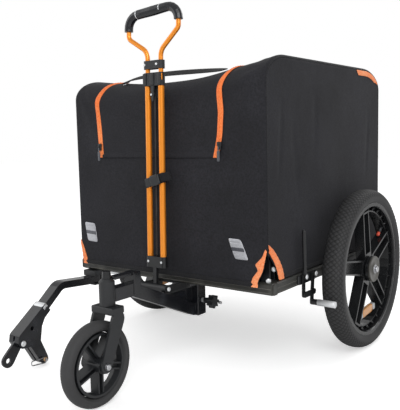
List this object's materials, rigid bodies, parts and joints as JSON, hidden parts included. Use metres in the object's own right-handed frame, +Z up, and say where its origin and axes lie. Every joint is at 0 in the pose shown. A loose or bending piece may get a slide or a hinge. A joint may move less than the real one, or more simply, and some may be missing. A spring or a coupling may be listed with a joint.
{
  "type": "dog bike trailer",
  "caption": "Dog bike trailer with a dark fabric cabin on a tube tray, spoked rear wheels, a front caster, a telescoping pull handle and a hinged tow arm.",
  "frame": {"origin": "On the ground, under the middle of the trailer's bounding box.", "axes": "+Z points up, +Y points back to the rear door, and +X points to the trailer's side that shows in the picture."},
  "size_m": [0.7446, 0.9862, 0.8526],
  "materials": {
    "rail_paint": "satin",
    "black_steel": "satin",
    "bright_steel": "satin",
    "orange_tube": "satin",
    "black_plastic": "matte",
    "grip_plastic": "matte",
    "tyre_rubber": "matte",
    "cover_cloth": "matte",
    "orange_tape": "matte",
    "webbing": "matte",
    "floor_board": "matte"
  },
  "bodies": {
    "trailer": {"front_rail": "rail_paint", "rear_rail": "rail_paint", "side_rail_left": "rail_paint", "side_rail_right": "rail_paint", "rear_cross_bar": "rail_paint", "floor_panel": "floor_board", "arm_spigot": "black_steel", "axle_plate_left": "black_steel", "axle_plate_right": "black_steel", "wheel_axle_left": "bright_steel", "wheel_axle_right": "bright_steel", "corner_bracket_front_left": "black_steel", "corner_bracket_front_right": "black_steel", "corner_bracket_rear_left": "black_steel", "corner_bracket_rear_right": "black_steel", "handle_bracket": "black_steel", "tow_bracket": "black_steel", "cover_shell": "cover_cloth", "front_flap": "cover_cloth", "front_zip_left": "orange_tape", "front_zip_right": "orange_tape", "top_strap": "webbing"},
    "zip_left": {"zip_slider_left": "black_plastic"},
    "zip_right": {"zip_slider_right": "black_plastic"},
    "door": {"rear_door": "cover_cloth"},
    "frame_left": {"side_frame_left": "black_steel"},
    "frame_right": {"side_frame_right": "black_steel"},
    "rear_wheel_left": {"wheel_left": "black_plastic", "tyre_left": "tyre_rubber"},
    "rear_wheel_right": {"wheel_right": "black_plastic", "tyre_right": "tyre_rubber"},
    "brake_lever_left": {"brake_lever_left": "black_steel"},
    "brake_lever_right": {"brake_lever_right": "black_steel"},
    "brake_link_left": {"brake_link_left": "bright_steel"},
    "brake_link_right": {"brake_link_right": "bright_steel"},
    "brake_shoe_left": {"brake_shoe_left": "bright_steel"},
    "brake_shoe_right": {"brake_shoe_right": "bright_steel"},
    "arm": {"caster_arm": "black_steel", "caster_head": "black_plastic"},
    "knob": {"star_knob": "black_plastic"},
    "fork": {"caster_fork": "black_plastic", "stem_nut": "black_steel", "caster_axle": "bright_steel"},
    "caster": {"caster_wheel": "black_plastic", "caster_tyre": "tyre_rubber"},
    "handle": {"handle_foot": "black_steel", "handle_lower_tube_left": "orange_tube", "handle_lower_tube_right": "orange_tube", "handle_lower_clamp": "black_plastic", "lever_keeper": "black_steel", "handle_strap": "webbing"},
    "handle_top": {"handle_upper_clamp": "black_plastic", "handle_upper_tube_left": "orange_tube", "handle_upper_tube_right": "orange_tube", "handle_grip": "grip_plastic"},
    "release": {"release_lever": "black_plastic"},
    "tow_arm": {"tow_beam": "black_steel", "hitch_bracket": "black_steel"},
    "lug": {"hitch_lug": "black_steel"},
    "pull_pin": {"hitch_pin": "bright_steel"}
  },
  "joints": [
    {"name": "wheel_spin_left", "type": "hinge", "parent": "trailer", "child": "rear_wheel_left", "pos_m": [-0.341, 0.26375, 0.2032], "axis": [1, 0, 0], "continuous": true},
    {"name": "brake_press_left", "type": "hinge", "parent": "trailer", "child": "brake_lever_left", "pos_m": [-0.3015, 0.00775, 0.2245], "axis": [1, 0, 0], "range_deg": [0, 8.5]},
    {"name": "brake_link_turn_left", "type": "hinge", "parent": "brake_lever_left", "child": "brake_link_left", "pos_m": [-0.3048, 0.00775, 0.1815], "axis": [1, 0, 0], "range_deg": [-8.5, 0]},
    {"name": "brake_shoe_turn_left", "type": "hinge", "parent": "trailer", "child": "brake_shoe_left", "pos_m": [-0.3015, 0.05475, 0.2245], "axis": [1, 0, 0], "range_deg": [0, 8.5]},
    {"name": "wheel_spin_right", "type": "hinge", "parent": "trailer", "child": "rear_wheel_right", "pos_m": [0.341, 0.26375, 0.2032], "axis": [1, 0, 0], "continuous": true},
    {"name": "brake_press_right", "type": "hinge", "parent": "trailer", "child": "brake_lever_right", "pos_m": [0.3015, 0.00775, 0.2245], "axis": [1, 0, 0], "range_deg": [0, 8.5]},
    {"name": "brake_link_turn_right", "type": "hinge", "parent": "brake_lever_right", "child": "brake_link_right", "pos_m": [0.3048, 0.00775, 0.1815], "axis": [1, 0, 0], "range_deg": [-8.5, 0]},
    {"name": "brake_shoe_turn_right", "type": "hinge", "parent": "trailer", "child": "brake_shoe_right", "pos_m": [0.3015, 0.05475, 0.2245], "axis": [1, 0, 0], "range_deg": [0, 8.5]},
    {"name": "frame_fold_left", "type": "hinge", "parent": "trailer", "child": "frame_left", "pos_m": [-0.27, 0.18175, 0.25], "axis": [0, 1, 0], "range_deg": [0, 88]},
    {"name": "frame_fold_right", "type": "hinge", "parent": "trailer", "child": "frame_right", "pos_m": [0.27, 0.18175, 0.278], "axis": [0, -1, 0], "range_deg": [0, 88]},
    {"name": "door_lift", "type": "hinge", "parent": "trailer", "child": "door", "pos_m": [0, 0.49155, 0.585], "axis": [-1, 0, 0], "range_deg": [-120, 0]},
    {"name": "zip_pull_left", "type": "slide", "parent": "trailer", "child": "zip_left", "axis": [0, 0, 1], "range_m": [0, 0.085]},
    {"name": "zip_pull_right", "type": "slide", "parent": "trailer", "child": "zip_right", "axis": [0, 0, 1], "range_m": [0, 0.085]},
    {"name": "arm_slide", "type": "slide", "parent": "trailer", "child": "arm", "axis": [0, 0, -1], "range_m": [0, 0.08]},
    {"name": "knob_turn", "type": "hinge", "parent": "arm", "child": "knob", "pos_m": [0.087, -0.06625, 0.154], "axis": [1, 0, 0], "range_deg": [0, 180]},
    {"name": "caster_swivel", "type": "hinge", "parent": "arm", "child": "fork", "pos_m": [0.042, -0.36525, 0.205], "axis": [0, 0, 1], "continuous": true},
    {"name": "caster_spin", "type": "hinge", "parent": "fork", "child": "caster", "pos_m": [0.042, -0.40325, 0.0898], "axis": [1, 0, 0], "continuous": true},
    {"name": "handle_swing", "type": "hinge", "parent": "trailer", "child": "handle", "pos_m": [0.0055, -0.17425, 0.2], "axis": [1, 0, 0], "range_deg": [0, 58]},
    {"name": "handle_extend", "type": "slide", "parent": "handle", "child": "handle_top", "axis": [0, 0.0244, 0.9997], "range_m": [0, 0.26]},
    {"name": "lever_press", "type": "hinge", "parent": "handle", "child": "release", "pos_m": [0.0055, -0.16004, 0.65029], "axis": [1, 0, 0], "range_deg": [0, 8], "stiffness_Nm_per_rad": 0.05},
    {"name": "tow_swing", "type": "hinge", "parent": "trailer", "child": "tow_arm", "pos_m": [-0.255, -0.11625, 0.181], "axis": [0, 0, 1], "range_deg": [-30, 20]},
    {"name": "lug_tilt", "type": "hinge", "parent": "tow_arm", "child": "lug", "pos_m": [-0.255, -0.37325, 0.074], "axis": [1, 0, 0], "range_deg": [-45, 45]},
    {"name": "pin_pull", "type": "slide", "parent": "tow_arm", "child": "pull_pin", "axis": [1, 0, 0], "range_m": [0, 0.038]}
  ],
  "couplings": [
    {"joint": "brake_link_turn_left", "follows": "brake_press_left", "ratio": -1},
    {"joint": "brake_shoe_turn_left", "follows": "brake_press_left", "ratio": 1},
    {"joint": "brake_link_turn_right", "follows": "brake_press_right", "ratio": -1},
    {"joint": "brake_shoe_turn_right", "follows": "brake_press_right", "ratio": 1},
    {"joint": "frame_fold_right", "follows": "frame_fold_left", "ratio": 1}
  ]
}
